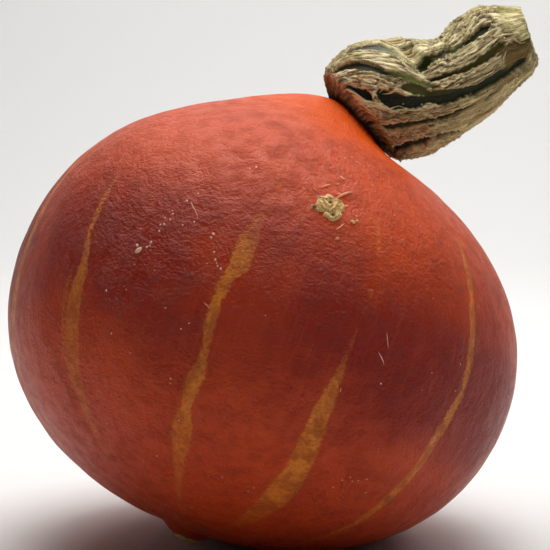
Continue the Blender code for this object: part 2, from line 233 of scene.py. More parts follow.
# The grooves where the stem's green skin still shows: places along the stem, the groove's angle
# there, half its width in degrees (below nought where cork bridges it), and its tone: 0 black,
# 0.3 dark green, 0.5 olive, 0.7 grey-green, 1 light green
GROOVES = (
    ((0.2, 15, -1, 0.65), (0.23, 19, 4, 0.65), (0.27, 25, 7, 0.65), (0.31, 31.5, 8, 0.65),
     (0.34, 39, 7, 0.65), (0.36, 43, 6, 0.75), (0.4, 55, 4.5, 0.95), (0.43, 65, 4, 1),
     (0.445, 69, 4, 0.8), (0.46, 66, 8, 0.25), (0.5, 61, 8.5, 0.3), (0.555, 57.5, 6, 0.5),
     (0.6, 58, 3.5, 0.8), (0.65, 61, 4, 0.9), (0.69, 65, 4, 0.7), (0.72, 66, 4.5, 0.3),
     (0.775, 67, 5.5, 0.2), (0.81, 66.5, 5.5, 0.15), (0.83, 67, 2, 0.2), (0.84, 67, -2, 0.2)),
    ((0.13, 30, -2, 0.65), (0.16, 34, 3, 0.65), (0.19, 39, 5.5, 0.65), (0.22, 45.5, 6.5, 0.65),
     (0.26, 55, 6.5, 0.65), (0.3, 65, 5.5, 0.65), (0.325, 73, 3.5, 0.6), (0.34, 76, 3.5, 0.8),
     (0.355, 78.5, 3.5, 1), (0.385, 83, 4, 1), (0.42, 86.5, 4, 1), (0.455, 90, 3, 1),
     (0.5, 93, 2, 0.8), (0.54, 96, -1, 0.7)),
    ((0.46, 82, -1, 0.3), (0.5, 84, 1.8, 0.3), (0.55, 84.5, 2.3, 0.35), (0.6, 86, 2.6, 0.4),
     (0.65, 90, 3.2, 0.42), (0.7, 93.5, 4.2, 0.45), (0.74, 97, 4.8, 0.45), (0.84, 98, 5, 0.5),
     (0.87, 98, -1, 0.5)),
    ((0.11, 56, -1, 0.05), (0.14, 60, 3, 0.05), (0.165, 70, 5.5, 0), (0.19, 79, 8.5, 0),
     (0.228, 87, 9, 0), (0.236, 89, -3, 0), (0.25, 92, -3, 0), (0.26, 94.5, 7.5, 0),
     (0.3, 99.5, 7.5, 0), (0.345, 102.5, 7, 0.02), (0.38, 105, 6, 0.08), (0.42, 106, 5.5, 0.1),
     (0.465, 105.5, 5.5, 0.12), (0.51, 107, 6, 0.12), (0.55, 109.5, 6, 0.15),
     (0.6, 112, 5.5, 0.15), (0.645, 115, 5.5, 0.18), (0.685, 120, 5.8, 0.2),
     (0.72, 123, 6.5, 0.2), (0.77, 128.5, 7.5, 0.2), (0.81, 131, 7, 0.2), (0.86, 136, 6, 0.15),
     (0.91, 138, 4.5, 0.15), (0.97, 140, 2, 0.2), (0.99, 141, -1, 0.2)),
    ((0.355, 92, -1, 0.5), (0.375, 91.5, 6, 0.5), (0.41, 93, 7.5, 0.5), (0.44, 95.5, 6.5, 0.48),
     (0.48, 98.5, 5, 0.45), (0.53, 103, 4, 0.4), (0.58, 106.5, 3, 0.35), (0.63, 111, -1, 0.3)),
    ((0.05, 103, 0.5, 0.12), (0.09, 108, 1.5, 0.12), (0.145, 118.5, 2, 0.12),
     (0.215, 123.5, 2.2, 0.12), (0.29, 126, 2.2, 0.12), (0.39, 127.5, 2, 0.15),
     (0.44, 127, 1.7, 0.2), (0.54, 130, 1.7, 0.2), (0.625, 134.5, 1.7, 0.2),
     (0.7, 141, 1.6, 0.2), (0.76, 145, 1.2, 0.2), (0.82, 148, -1, 0.2)),
    ((0.05, 166, 1.5, 0.05), (0.08, 164.5, 3.5, 0.02), (0.155, 156, 5, 0.02),
     (0.3, 153.5, 5.5, 0.03), (0.365, 151.5, 5.2, 0.05), (0.43, 149.5, 4.6, 0.1),
     (0.485, 150, 4.2, 0.3), (0.53, 155, 3.4, 0.3), (0.57, 159, 2.8, 0.3),
     (0.62, 161, 2.2, 0.3), (0.66, 167, 1.6, 0.3), (0.74, 173, -1, 0.3)),
    ((0.39, 24, 0.8, 0.4), (0.412, 37, 1.7, 0.4), (0.425, 43.5, 2, 0.35), (0.45, 40, 1.4, 0.4),
     (0.48, 35.5, 1, 0.4), (0.51, 33, -1, 0.4)),
    ((0, 190, 2, 0.2), (0.3, 196, 3.5, 0.2), (0.6, 210, 3.5, 0.35), (0.9, 213, 2, 0.4),
     (0.95, 214, -1, 0.4)),
    ((0, 216, 3, 0), (0.12, 219, 6, 0), (0.3, 222, 7, 0.05), (0.45, 229, 6, 0.2),
     (0.6, 236, 7, 0.3), (0.8, 238, 6, 0.4), (0.92, 240, -1, 0.4)),
    ((0.05, 243, 1, 0.5), (0.3, 247, 3, 0.7), (0.45, 252, 4, 1), (0.6, 257, 2, 0.8),
     (0.66, 258, -1, 0.8), (0.7, 259, 2, 0.6), (0.85, 261, -1, 0.6)),
    ((0, 266, 3, 0), (0.1, 268, 7, 0), (0.22, 269, 8, 0), (0.25, 270, -3, 0), (0.28, 271, 7, 0),
     (0.45, 275, 9, 0.3), (0.6, 279, 6, 0.2), (0.8, 282, 7, 0.2), (0.9, 283, 4, 0.3),
     (0.95, 284, -1, 0.3)),
    ((0.12, 293, 2, 0.7), (0.3, 295, 4, 0.7), (0.4, 296, 2.5, 1), (0.55, 298, 2, 0.9),
     (0.63, 298, -1, 0.8), (0.68, 299, 3, 0.4), (0.84, 300, -1, 0.3)),
    ((0.1, 316, 2, 0.7), (0.24, 316, 6, 0.7), (0.34, 317, 5, 0.7), (0.37, 317, -2, 0.7),
     (0.4, 317, 4, 0.4), (0.5, 318, 7, 0.3), (0.62, 318, 4, 0.8), (0.75, 319, 5, 0.3),
     (0.86, 319, -1, 0.3)),
    ((0.2, 342, -1, 0.6), (0.3, 342, 2, 0.7), (0.5, 343, 2.6, 0.5), (0.65, 343, 1.6, 0.5),
     (0.75, 343, -1, 0.5)),
)
WIDE_SHEETS = 40          # sheets of torn cork that lap round the stem
SMALL_SHEETS = 76         # smaller ones over them
GROOVE_DEPTH = 1.1        # in mm, below the cork on either side
BARK_THICKNESS = 1.1      # in mm, so that the tallest cork comes about level with the solid

# The crease where the stem folds: where it is along the stem and round it, and how it spreads
FOLD_ALONG = 0.435
FOLD_SKEW = 0.073
FOLD_WIDTH = 0.028
FOLD_AROUND = math.radians(50.0)
FOLD_SPREAD = math.radians(34.0)
FOLD_DEPTH = 0.0034
LUMP_AT = (0.40, 72.0)    # the swelling beside the fold
PIT_AT = (0.482, 62.0)    # the hollow that it hangs over
# The side of the stem that faces the light: a painted highlight on the cork there, painted shade
# on the flesh away from it
PAINTED_LIGHT_SIDE = math.radians(64.0)

# Where the cork gives way to dried flesh near the cut: angle in degrees, place along the stem
FLESH_EDGE = ((0, 0.91), (41, 0.895), (67, 0.868), (79, 0.868), (86, 0.882), (92, 0.897),
              (99, 0.915), (108, 0.955), (116, 1.0), (130, 1.1), (240, 1.1), (300, 0.97),
              (360, 0.91))

# Lips of torn cork that stand up from the stem: places along it and round it in degrees, half
# the width and the height in mm
LIPS = (
    (((0.1, 91), (0.17, 95), (0.21, 97), (0.24, 101), (0.26, 106), (0.28, 108), (0.31, 108),
      (0.33, 108), (0.35, 112)), 0.42, 0.9),
    (((0.1, 98), (0.16, 99), (0.21, 102), (0.23, 106), (0.2, 110), (0.14, 109), (0.1, 103)),
     0.36, 0.5),
    (((0.19, 116), (0.24, 116), (0.29, 118), (0.31, 122), (0.32, 125)), 0.36, 0.6),
    (((0.21, 95), (0.23, 91), (0.25, 88), (0.28, 85), (0.31, 82)), 0.5, 0.9),
    (((0.26, 85), (0.29, 82), (0.31, 80), (0.315, 83), (0.32, 86), (0.34, 86), (0.36, 83)),
     0.36, 0.7),
    (((0.27, 89), (0.3, 88), (0.32, 89), (0.35, 88), (0.37, 86)), 0.34, 0.6),
    (((0.28, 91), (0.31, 94), (0.34, 93), (0.36, 95), (0.365, 100)), 0.4, 0.9),
    (((0.19, 53), (0.23, 57), (0.25, 63), (0.28, 68), (0.3, 72), (0.32, 76)), 0.4, 0.8),
    (((0.18, 62), (0.22, 64), (0.25, 68), (0.28, 73), (0.3, 77)), 0.4, 0.7),
    (((0.13, 56), (0.16, 60), (0.2, 64), (0.23, 68), (0.25, 71)), 0.38, 0.7),
    (((0.19, 33), (0.22, 37), (0.25, 44), (0.27, 49), (0.3, 57)), 0.36, 0.6),
    (((0.22, 28), (0.25, 34), (0.28, 40), (0.31, 46), (0.34, 51)), 0.36, 0.5),
    (((0.455, 78), (0.465, 73), (0.48, 70), (0.495, 71), (0.49, 76), (0.465, 79)), 0.42, 1.0),
    (((0.52, 68), (0.57, 68), (0.62, 67), (0.66, 68), (0.7, 71), (0.74, 72.5), (0.78, 73)),
     0.38, 0.8),
    (((0.6, 78), (0.64, 82), (0.68, 84), (0.72, 87), (0.75, 90), (0.78, 91), (0.82, 89)),
     0.38, 0.8),
    (((0.8, 76), (0.82, 83), (0.84, 88), (0.86, 91), (0.87, 95)), 0.36, 0.7),
    (((0.57, 97.5), (0.61, 98), (0.64, 100), (0.67, 101)), 0.36, 0.7),
    (((0.58, 101), (0.61, 104), (0.65, 108), (0.7, 112), (0.74, 115.5), (0.78, 118),
      (0.81, 116)), 0.36, 0.7),
    (((0.79, 121), (0.81, 115), (0.83, 111), (0.85, 106)), 0.36, 0.7),
    (((0.67, 35), (0.71, 41), (0.76, 43), (0.81, 42)), 0.34, 0.5),
    (((0.67, 49), (0.73, 52), (0.78, 50), (0.83, 48)), 0.34, 0.5),
    (((0.5, 118), (0.54, 120), (0.58, 122), (0.62, 125), (0.67, 129)), 0.34, 0.5),
    (((0.77, 146), (0.81, 148), (0.85, 152), (0.9, 153), (0.94, 154)), 0.36, 0.6),
    (((0.88, 88), (0.89, 95), (0.905, 102), (0.93, 109), (0.96, 113)), 0.42, 0.7),
)
LOOSE_LIPS = 480

# The picture that the camera repeats
PICTURE_PX = 550
FRUIT_WIDTH = 0.160
FRUIT_WIDTH_PX = 505
HEART_PX = (264.2, 332.2)
CAMERA_ELEVATION = math.radians(8.0)
CAMERA_DISTANCE = 0.6
SENSOR_MM = 36.0

# Inputs of the Mix node when it mixes colours, and its output
MIX_A, MIX_B, MIXED = 6, 7, 2


def linear(hex_colour):
    """An sRGB colour such as "#aa5533" as linear red, green, blue and alpha."""
    parts = [int(hex_colour[i:i + 2], 16) / 255 for i in (1, 3, 5)]
    parts = [c / 12.92 if c <= 0.04045 else ((c + 0.055) / 1.055) ** 2.4 for c in parts]
    return (*parts, 1.0)


def new_material(name):
    """A new material, its node tree and its shader."""
    made = bpy.data.materials.new(name)
    made.use_nodes = True
    tree = made.node_tree
    return made, tree, tree.nodes["Principled BSDF"]


def set_inputs(tree, node, inputs):
    """Gives each of these inputs of a node its value, or a socket to read."""
    for name, value in dict(inputs).items():
        if isinstance(value, bpy.types.NodeSocket):
            tree.links.new(value, node.inputs[name])
        else:
            node.inputs[name].default_value = value


def add(tree, kind, inputs=(), out=0, **settings):
    """Adds a node with these properties and inputs, and returns one of its outputs."""
    made = tree.nodes.new(kind)
    for name, value in settings.items():
        setattr(made, name, value)
    set_inputs(tree, made, inputs)
    return made.outputs[out]


def cells(size_mm):
    """A noise scale that gives features of this size."""
    return 1000.0 / size_mm


def noise_at(points, size, seed=0):
    """Smooth noise between about -1 and 1 at each point, with features of that size."""
    shifted = points / size + 17.37 * seed
    return np.array([noise.noise(place) for place in shifted.tolist()])


def smooth_step(value, low, high):
    share = np.clip((value - low) / (high - low), 0.0, 1.0)
    return share * share * (3 - 2 * share)


def turned_by(angle, target):
    """The signed angle from the target, between -pi and pi."""
    return (angle - target + math.pi) % (2 * math.pi) - math.pi


def unit(vectors):
    return vectors / np.linalg.norm(vectors, axis=-1, keepdims=True)


def normals_of(mesh):
    flat = np.empty(3 * len(mesh.vertices))
    mesh.vertex_normals.foreach_get("vector", flat)
    return flat.reshape(-1, 3)


def move_to(mesh, points):
    mesh.vertices.foreach_set("co", points.ravel())
    mesh.update()


def write_attributes(mesh, columns):
    """Writes named attributes, each with a number or a vector for every point."""
    for name, column in columns.items():
        kind, field = ("FLOAT", "value") if column.ndim == 1 else ("FLOAT_VECTOR", "vector")
        layer = mesh.attributes.new(name, kind, "POINT")
        layer.data.foreach_set(field, column.astype(np.float32).ravel())


def shown(bm, name, *materials):
    """A smooth-shaded object of the bmesh."""
    mesh = bpy.data.meshes.new(name)
    bm.to_mesh(mesh)
    bm.free()
    mesh.shade_smooth()
    for finish in materials:
        mesh.materials.append(finish)
    thing = bpy.data.objects.new(name, mesh)
    bpy.context.scene.collection.objects.link(thing)
    return thing


def along_route(route, steps):
    """Points at even steps on a smooth line through a route's points."""
    corners = np.array(route, float)
    for _ in range(2):
        early = 0.75 * corners[:-1] + 0.25 * corners[1:]
        late = 0.25 * corners[:-1] + 0.75 * corners[1:]
        between = np.stack([early, late], axis=1).reshape(-1, corners.shape[1])
        corners = np.vstack([corners[:1], between[1:-1], corners[-1:]])
    share = np.linspace(0, len(corners) - 1, steps)
    return np.stack([np.interp(share, range(len(corners)), column) for column in corners.T],
                    axis=-1)


def ridge_along(bm, places, outward, half_widths, heights, lean=0.0):
    """A closed ridge through these places, sunk a little at its back, that may lean to a side.
    Returns which place each of its points is at."""
    rows = len(places) - 1
    made = bmesh.ops.create_uvsphere(bm, u_segments=6, v_segments=rows, radius=1.0)
    ball = np.array([vert.co for vert in made["verts"]])
    row = np.round(np.arccos(np.clip(ball[:, 2], -1.0, 1.0)) / math.pi * rows).astype(int)
    turn = np.arctan2(ball[:, 1], ball[:, 0])
    side = unit(np.cross(np.gradient(places, axis=0), outward))
    rise = np.sin(turn) * np.where(turn > 0, 1.0, 0.6) * heights[row]
    slide = np.cos(turn) * half_widths[row] + lean * np.maximum(rise, 0.0)
    points = places[row] + slide[:, None] * side[row] + rise[:, None] * outward[row]
    for vert, point in zip(made["verts"], points):
        vert.co = point
    return row


# The fruit

LEAN = Matrix.Rotation(LEAN_RIGHT, 3, "Y")
TIP_BACK = Matrix.Rotation(-LEAN_BACK, 3, "X")


def placed(points, *turns):
    """Points turned, then set about the fruit's heart."""
    for turn in turns:
        points = points @ np.array(turn).T
    return points + np.array(HEART)


def neck_lift(x, y, z, height):
    """How far each point is drawn out towards the stem, and the direction that it is drawn in."""
    direction = np.array([
        math.sin(NECK_LEAN) * math.cos(NECK_BACK),
        math.sin(NECK_BACK),
        math.cos(NECK_LEAN) * math.cos(NECK_BACK),
    ])
    from_top = np.stack([x - NECK_SHIFT, y, z - HALF_HEIGHT], axis=-1)
    along = from_top @ direction
    off_axis = from_top - along[..., None] * direction
    off_axis = np.linalg.norm(off_axis / (1.0, NECK_DEPTH, 1.0), axis=-1)
    near = np.exp(-((off_axis / NECK_RADIUS) ** NECK_BLUNTNESS))
    fade_from, fade_to = NECK_FADE
    upper = np.clip((height - fade_from) / (fade_to - fade_from), 0.0, 1.0)
    return (NECK_RISE * near * upper)[..., None] * direction


def fruit_skin(around, down):
    """Points of the skin in the fruit's own frame, at a longitude and an angle from the stem."""
    height = np.cos(down)
    bulge = 1 + FULLNESS * height**2 - BOTTOM_HEAVY * height**3
    girth = GIRTH_RADIUS * np.sin(down) * bulge
    girth = girth + RIB_DEPTH * np.sin(down) ** 2 * np.cos(RIBS * (around - RIB_TURN))
    x = girth * np.cos(around) + POLE_DRIFT * height**2 + TOP_DRIFT * height**3
    y = girth * np.sin(around)
    z = HALF_HEIGHT * height
    from_tip = girth / BUTTON_RADIUS
    below = height < 0
    z = z - below * BUTTON_RISE * np.exp(-(from_tip**4))
    from_groove = (from_tip - BUTTON_GROOVE_AT) / BUTTON_GROOVE_WIDTH
    z = z + below * BUTTON_GROOVE * np.exp(-(from_groove**2))
    points = np.stack([x, y, z], axis=-1)
    return points + neck_lift(x, y, z, height)


def on_skin(skin, longitude, from_stem):
    """The skin's point at these degrees, and the way out of it there."""
    around, down = math.radians(longitude), math.radians(from_stem)
    near = placed(fruit_skin(np.array(around), np.array(down)), LEAN, TIP_BACK)
    place, outward, _, _ = skin.find_nearest(Vector(near))
    return np.array(place), np.array(outward)


def ridge_on_skin(bm, skin, route, half_width, height, bluntness):
    """A small ridge along a route on the skin, tapered at its ends, its sizes in mm. Returns
    which place each of its points is at."""
    steps = 9
    spots = [on_skin(skin, *spot) for spot in along_route(route, steps)]
    places, outward = np.array(spots).transpose(1, 0, 2)
    taper = np.sin(np.linspace(0.0, math.pi, steps)) ** bluntness * MM
    return ridge_along(bm, places, outward, half_width * taper, height * taper)


def blown_up_cube(cuts):
    """A ball of even squares, and each point's longitude and angle from the upper pole."""
    bm = bmesh.new()
    bmesh.ops.create_cube(bm, size=2.0)
    bmesh.ops.subdivide_edges(bm, edges=bm.edges[:], cuts=cuts, use_grid_fill=True)
    cube = np.tan(np.array([vert.co for vert in bm.verts]) * math.pi / 4)
    ball = cube / np.linalg.norm(cube, axis=1)[:, None]
    around = np.arctan2(ball[:, 1], ball[:, 0])
    down = np.arccos(np.clip(ball[:, 2], -1.0, 1.0))
    return bm, around, down


def stripe_field(around, down, routes):
    """How far inside the nearest stripe each point is, in mm, and how strong that stripe is."""
    inside = np.full(len(down), -9.0)
    strength = np.zeros(len(down))
    degrees = np.degrees(down)
    girth_mm = GIRTH_RADIUS / MM * np.sin(down)
    for route in routes:
        downs, longitudes, widths, strengths = np.array(route, float).T
        middle = np.radians(np.interp(degrees, downs, longitudes))
        half_width = np.interp(degrees, downs, widths, left=-9.0, right=-9.0) / 2
        here = half_width - np.abs(turned_by(around, middle)) * girth_mm
        nearer = here > inside
        inside = np.where(nearer, here, inside)
        strength = np.where(nearer, np.interp(degrees, downs, strengths), strength)
    return np.clip(inside, -4.0, 4.0), strength


def grown_stripe(longitude, dice):
    """A stripe for the sides that the photograph doesn't show, by the same habit."""
    top = dice.uniform(48, 76)
    bottom = dice.uniform(146, 158)
    widest = dice.uniform(4.0, 7.0)
    count = 14
    route = []
    for step in range(count):
        share = step / (count - 1)
        width = widest * math.sin(math.pi * share) ** 0.6 * dice.uniform(0.45, 1.0) + 0.6
        drift = dice.uniform(-0.5, 0.5) + 2.0 * math.sin(2.5 * share + longitude)
        route.append((top + (bottom - top) * share, longitude + drift, width,
                      0.95 - 0.6 * share**3))
    return route


def fruit_relief(points):
    """How far the skin stands out from its plain form, in metres."""
    relief = np.zeros(len(points))
    for height_mm, size, seed in ((0.35, 0.034, 1), (0.18, 0.012, 2), (0.09, 0.0052, 3)):
        relief += height_mm * noise_at(points, size, seed)
    dice = random.Random(41)
    dents = list(DENTS)
    for _ in range(LOOSE_DENTS):
        dents.append((dice.uniform(-180, 180), math.degrees(math.acos(dice.uniform(-0.9, 0.85))),
                      dice.uniform(1.8, 4.5), dice.uniform(0.06, 0.22)))
    for longitude, from_stem, radius, depth in dents:
        middle = fruit_skin(np.radians(longitude), np.radians(from_stem))
        away = np.linalg.norm(points - middle, axis=1) / (radius * MM)
        relief -= depth * np.exp(-(away**2))
    return relief * MM


def fruit(finish):
    """The whole skin, finer than the solid, with its dents and its stripes."""
    bm, around, down = blown_up_cube(FRUIT_CUTS)
    piece = shown(bm, "rind", finish)
    mesh = piece.data
    points = fruit_skin(around, down)
    move_to(mesh, points)
    under_stem = np.exp(-((np.degrees(down) / PLAIN_UNDER_STEM) ** 4))
    relief = fruit_relief(points) * (1 - under_stem)
    points = placed(points + relief[:, None] * normals_of(mesh), LEAN, TIP_BACK)
    points[:, 2] = np.maximum(points[:, 2], 0.0)
    move_to(mesh, points)

    dice = random.Random(7)
    routes = list(STRIPES) + [grown_stripe(longitude, dice) for longitude in HIDDEN_STRIPES]
    inside, strength = stripe_field(around, down, routes)
    foot = placed(fruit_skin(np.array(0.0), np.array(0.0)), LEAN, TIP_BACK)
    from_neck = np.linalg.norm(points - foot, axis=1) / MM
    round_about = np.stack([np.cos(around), np.sin(around), down], axis=-1) * GIRTH_RADIUS
    write_attributes(mesh, {
        "stripe_inside": inside,
        "stripe_strength": strength,
        "neck": smooth_step(-from_neck, -ORANGE_NECK[1], -ORANGE_NECK[0]),
        "belt": np.exp(-(((np.degrees(down) - RED_BELT) / RED_BELT_WIDTH) ** 2)),
        "low": smooth_step(np.degrees(down), *PALER_LOW_END),
        "lengthwise": round_about * (1.0, 1.0, STREAK_SQUEEZE),
        "crosswise": round_about * (WRINKLE_SQUEEZE, WRINKLE_SQUEEZE, 1.0),
    })
    return piece


def boss(bm, place, outward, radii, height, seed, sides=84):
    """A low corky boss with a ragged edge and coiled cracks. Returns its lips and its cracks."""
    made = bmesh.ops.create_uvsphere(bm, u_segments=sides, v_segments=sides // 2, radius=1.0)
    ball = np.array([vert.co for vert in made["verts"]])
    turn = np.arctan2(ball[:, 1], ball[:, 0])
    reach = np.minimum(np.hypot(ball[:, 0], ball[:, 1]), 1.0)
    flat = ball * (1.0, 1.0, 0.0)
    edge = np.stack([np.cos(turn), np.sin(turn), 0 * turn], axis=-1)
    ragged = 1 + 0.2 * noise_at(edge, 0.5, seed) + 0.1 * noise_at(edge, 0.2, seed + 3)
    # Across each turn of the coil, from the crack at its inner side to its lip
    phase = (2.3 * reach + turn / (2 * math.pi) + 0.4 * noise_at(flat, 0.4, seed + 1)) % 1.0
    # Lip and crack also mark where the finish paints a highlight and shade
    lip = np.exp(-(((1 - phase) / 0.2) ** 2))
    crack = np.exp(-((phase / 0.1) ** 2))
    rise = 0.7 + 0.35 * phase + 0.25 * lip - 0.5 * crack + 0.15 * noise_at(flat, 0.16, seed + 2)
    rise = np.where(ball[:, 2] > 0.001, (1 - reach**5) * rise, -0.35)
    side = unit(np.cross(outward, (0.0, 0.0, 1.0)))
    upright = np.cross(outward, side)
    across = (reach * np.cos(turn) * ragged * radii[0] * MM)[:, None] * side
    onward = (reach * np.sin(turn) * ragged * radii[1] * MM)[:, None] * upright
    points = place + across + onward + (rise * height * MM)[:, None] * outward
    for vert, point in zip(made["verts"], points):
        vert.co = point
    return lip, crack


def corky_scar(finish, skin):
    """The healed scar on the shoulder, with the slivers and scabs round it."""
    bm = bmesh.new()
    marks = []
    peels = []
    for seed, (longitude, from_stem, half_width, half_length, height) in enumerate(SCAR_LOBES):
        place, outward = on_skin(skin, longitude, from_stem)
        marks.append(boss(bm, place, outward, (half_width, half_length), height, 5 * seed))
        peels.append(0 * marks[-1][0])
    for seed, (longitude, from_stem, radius) in enumerate(SCABS):
        place, outward = on_skin(skin, longitude, from_stem)
        marks.append(boss(bm, place, outward, (radius, 0.8 * radius), 0.7 * radius,
                          3 * seed + 3, sides=16))
        peels.append(0.7 + 0 * marks[-1][0])
    for route, half_width, height in SLIVERS:
        row = ridge_on_skin(bm, skin, route, half_width, height, 0.4)
        marks.append((0.5 + 0 * row, 0 * row))
        peels.append(0.75 + 0 * row)
    bmesh.ops.recalc_face_normals(bm, faces=bm.faces[:])
    piece = shown(bm, "corky_scar", finish)
    mesh = piece.data
    lips, cracks = zip(*marks)
    crack = np.concatenate(cracks)
    points = np.array([vert.co for vert in mesh.vertices])
    for longitude, from_stem, radius in SCAR_HOLES:
        place, outward = on_skin(skin, longitude, from_stem)
        away = points - place
        away = away - (away @ outward)[:, None] * outward
        near = np.exp(-((np.linalg.norm(away, axis=1) / (radius * MM)) ** 2))
        # Each hole is painted dark as shade, as well as sunk
        crack = np.maximum(crack, near)
        points = points - (0.45 * MM * near)[:, None] * outward
    move_to(mesh, points)
    write_attributes(mesh, {
        "lip": np.concatenate(lips), "crack": crack, "peel": np.concatenate(peels)})
    return piece


def blossom_scar(finish, skin):
    """The corky button where the flower sat, at the fruit's low end."""
    bm = bmesh.new()
    place, outward = on_skin(skin, 0.0, 180.0)
    lip, crack = boss(bm, place, outward, (4.2, 4.2), 0.9, 31)
    bmesh.ops.recalc_face_normals(bm, faces=bm.faces[:])
    piece = shown(bm, "blossom_scar", finish)
    write_attributes(piece.data, {"lip": lip, "crack": crack, "peel": 0 * lip})
    return piece


def crumbs(finish, skin):
    """Pale crumbs and fine scratches that lie on the skin; some of the crumbs are painted glints.
    """
    bm = bmesh.new()
    dice = random.Random(11)
    spots = list(CRUMBS)
    for _ in range(LOOSE_CRUMBS):
        spots.append((dice.uniform(-180, 180), math.degrees(math.acos(dice.uniform(-0.85, 0.8))),
                      dice.uniform(0.10, 0.26)))
    for longitude, from_stem, radius in spots:
        place, outward = on_skin(skin, longitude, from_stem)
        made = bmesh.ops.create_icosphere(bm, subdivisions=2 if radius > 0.25 else 1,
                                          radius=radius * MM)
        shape = Matrix.Diagonal((dice.uniform(0.75, 1.3), dice.uniform(0.75, 1.1), 0.5, 1.0))
        turn = Vector(outward).to_track_quat("Z", "Y").to_matrix().to_4x4()
        spin = Matrix.Rotation(dice.uniform(0, math.pi), 4, "Z")
        bmesh.ops.transform(bm, matrix=Matrix.Translation(Vector(place)) @ turn @ spin @ shape,
                            verts=made["verts"])
    for route in SCRATCHES:
        ridge_on_skin(bm, skin, route, 0.13, 0.12, 0.5)
    bmesh.ops.recalc_face_normals(bm, faces=bm.faces[:])
    return shown(bm, "crumbs_and_painted_glints", finish)


# The stem

def smooth_profile(along):
    """The stem's profile at each share of its length, on a smooth curve through its rings."""
    rings = np.array(STEM_PROFILE)
    place = np.clip(along, 0.0, 1.0) * (len(rings) - 1)
    first = np.minimum(place.astype(int), len(rings) - 2)
    part = (place - first)[..., None]
    before = rings[np.maximum(first - 1, 0)]
    here = rings[first]
    after = rings[first + 1]
    beyond = rings[np.minimum(first + 2, len(rings) - 1)]
    leave = (after - before) / 2
    arrive = (beyond - here) / 2
    rise = after - here
    return here + part * (leave + part * (3 * rise - 2 * leave - arrive
                                          + part * (leave + arrive - 2 * rise)))


def read_line(spots, values, along, softening):
    """A value along the stem, read off a line through these spots and softened."""
    grid = np.linspace(0.0, 1.0, 301)
    line = np.interp(grid, spots, values)
    for _ in range(softening):
        padded = np.concatenate([line[:1], line, line[-1:]])
        line = (padded[:-2] + 2 * line + padded[2:]) / 4
    return np.interp(along, grid, line)


def fibre_lines(along):
    """The angle of each named fibre at each place along the stem, in degrees."""
    lines = []
    for _, *line in FIBRES:
        spots, angles = np.array(line, float).T
        lines.append(read_line(spots, angles, along, 14))
    lines.append(lines[0] + 360)
    return np.array(lines)


FIBRE_NAMES = [line[0] for line in FIBRES] + [FIBRES[0][0] + 360]


def fibre_angle(around, along):
    """The angle that stands for each point's fibre, so that cork runs along fixed angles."""
    lines = fibre_lines(along)
    degrees = np.degrees(around) % 360
    degrees = np.where(degrees < lines[0], degrees + 360, degrees)
    fibre = np.zeros(len(degrees))
    for index in range(len(FIBRES)):
        start, end = lines[index], lines[index + 1]
        share = (degrees - start) / (end - start)
        here = FIBRE_NAMES[index] + share * (FIBRE_NAMES[index + 1] - FIBRE_NAMES[index])
        fibre = np.where((share >= 0) & (share <= 1), here, fibre)
    return np.radians(fibre % 360)


def groove_pattern(around, along, wander):
    """How far inside a groove each point is, in degrees, and that groove's tone."""
    most = np.full(len(around), -9.0)
    tone = np.zeros(len(around))
    for groove in GROOVES:
        spots, angles, half_widths, tones = np.array(groove, float).T
        middle = np.radians(read_line(spots, angles, along, 12))
        half_width = read_line(spots, half_widths, along, 2)
        away = np.degrees(np.abs(turned_by(around, middle)))
        reach = half_width * (1 + 0.3 * wander) + 1.2 * wander - away
        outside = (along < spots[0]) | (along > spots[-1])
        reach = np.where(outside, -9.0, reach)
        tone = np.where(reach > most, read_line(spots, tones, along, 6), tone)
        most = np.maximum(most, reach)
    return most, tone


def fold_depth(around, along):
    """How deep the skewed crease cuts where the stem folds, and how the stem swells beside it."""
    off_middle = turned_by(around, FOLD_AROUND)
    crease = FOLD_ALONG + FOLD_SKEW * off_middle
    across = np.exp(-(((along - crease) / FOLD_WIDTH) ** 2))
    fold = FOLD_DEPTH * across * np.exp(-((off_middle / FOLD_SPREAD) ** 2))
    for (spot, angle), length, width, depth in ((LUMP_AT, 0.032, 11.0, -1.3),
                                                (PIT_AT, 0.030, 8.0, 1.3)):
        from_angle = np.degrees(turned_by(around, math.radians(angle))) / width
        fold = fold + depth * MM * np.exp(-(((along - spot) / length) ** 2) - from_angle**2)
    return fold


def end_axis():
    """The way that the stem's cut end faces, before the stem is tipped back."""
    upper_x, upper_z, lower_x, lower_z, _ = STEM_PROFILE[-1]
    return unit(np.array([upper_z - lower_z, 0.0, lower_x - upper_x]))


def stem_skin(around, along, spread):
    """Points of the stem, by their turn from its upper edge to the front, their place along it
    and their share of the way out from its middle."""
    ring = smooth_profile(along)
    upper = np.stack([ring[:, 0], np.zeros(len(ring)), ring[:, 1]], axis=-1)
    lower = np.stack([ring[:, 2], np.zeros(len(ring)), ring[:, 3]], axis=-1)
    middle = (upper + lower) / 2
    across = (upper - lower) / 2
    half_width = np.linalg.norm(across, axis=-1)
    share = spread * (1 - fold_depth(around, along) / half_width)
    across = across * (share * np.cos(around))[:, None]
    depth = -ring[:, 4] * share * np.sin(around)
    points = middle + across
    points[:, 1] += depth
    near_end = np.clip((along - END_TURN_FROM) / (1 - END_TURN_FROM), 0.0, 1.0)
    shift = depth * math.tan(END_TURN) * near_end**2
    return placed(points + shift[:, None] * end_axis(), TIP_BACK)


def stem_wall(around, along):
    """Points of the stem's plain wall, and the way out of it at each."""
    whole = np.ones(len(around))
    turn, step = 0.01, 0.003
    sideways = stem_skin(around + turn, along, whole) - stem_skin(around - turn, along, whole)
    onward = stem_skin(around, np.minimum(along + step, 1.0), whole)
    onward = onward - stem_skin(around, np.minimum(along, 1.0) - step, whole)
    return stem_skin(around, along, whole), unit(np.cross(sideways, onward))


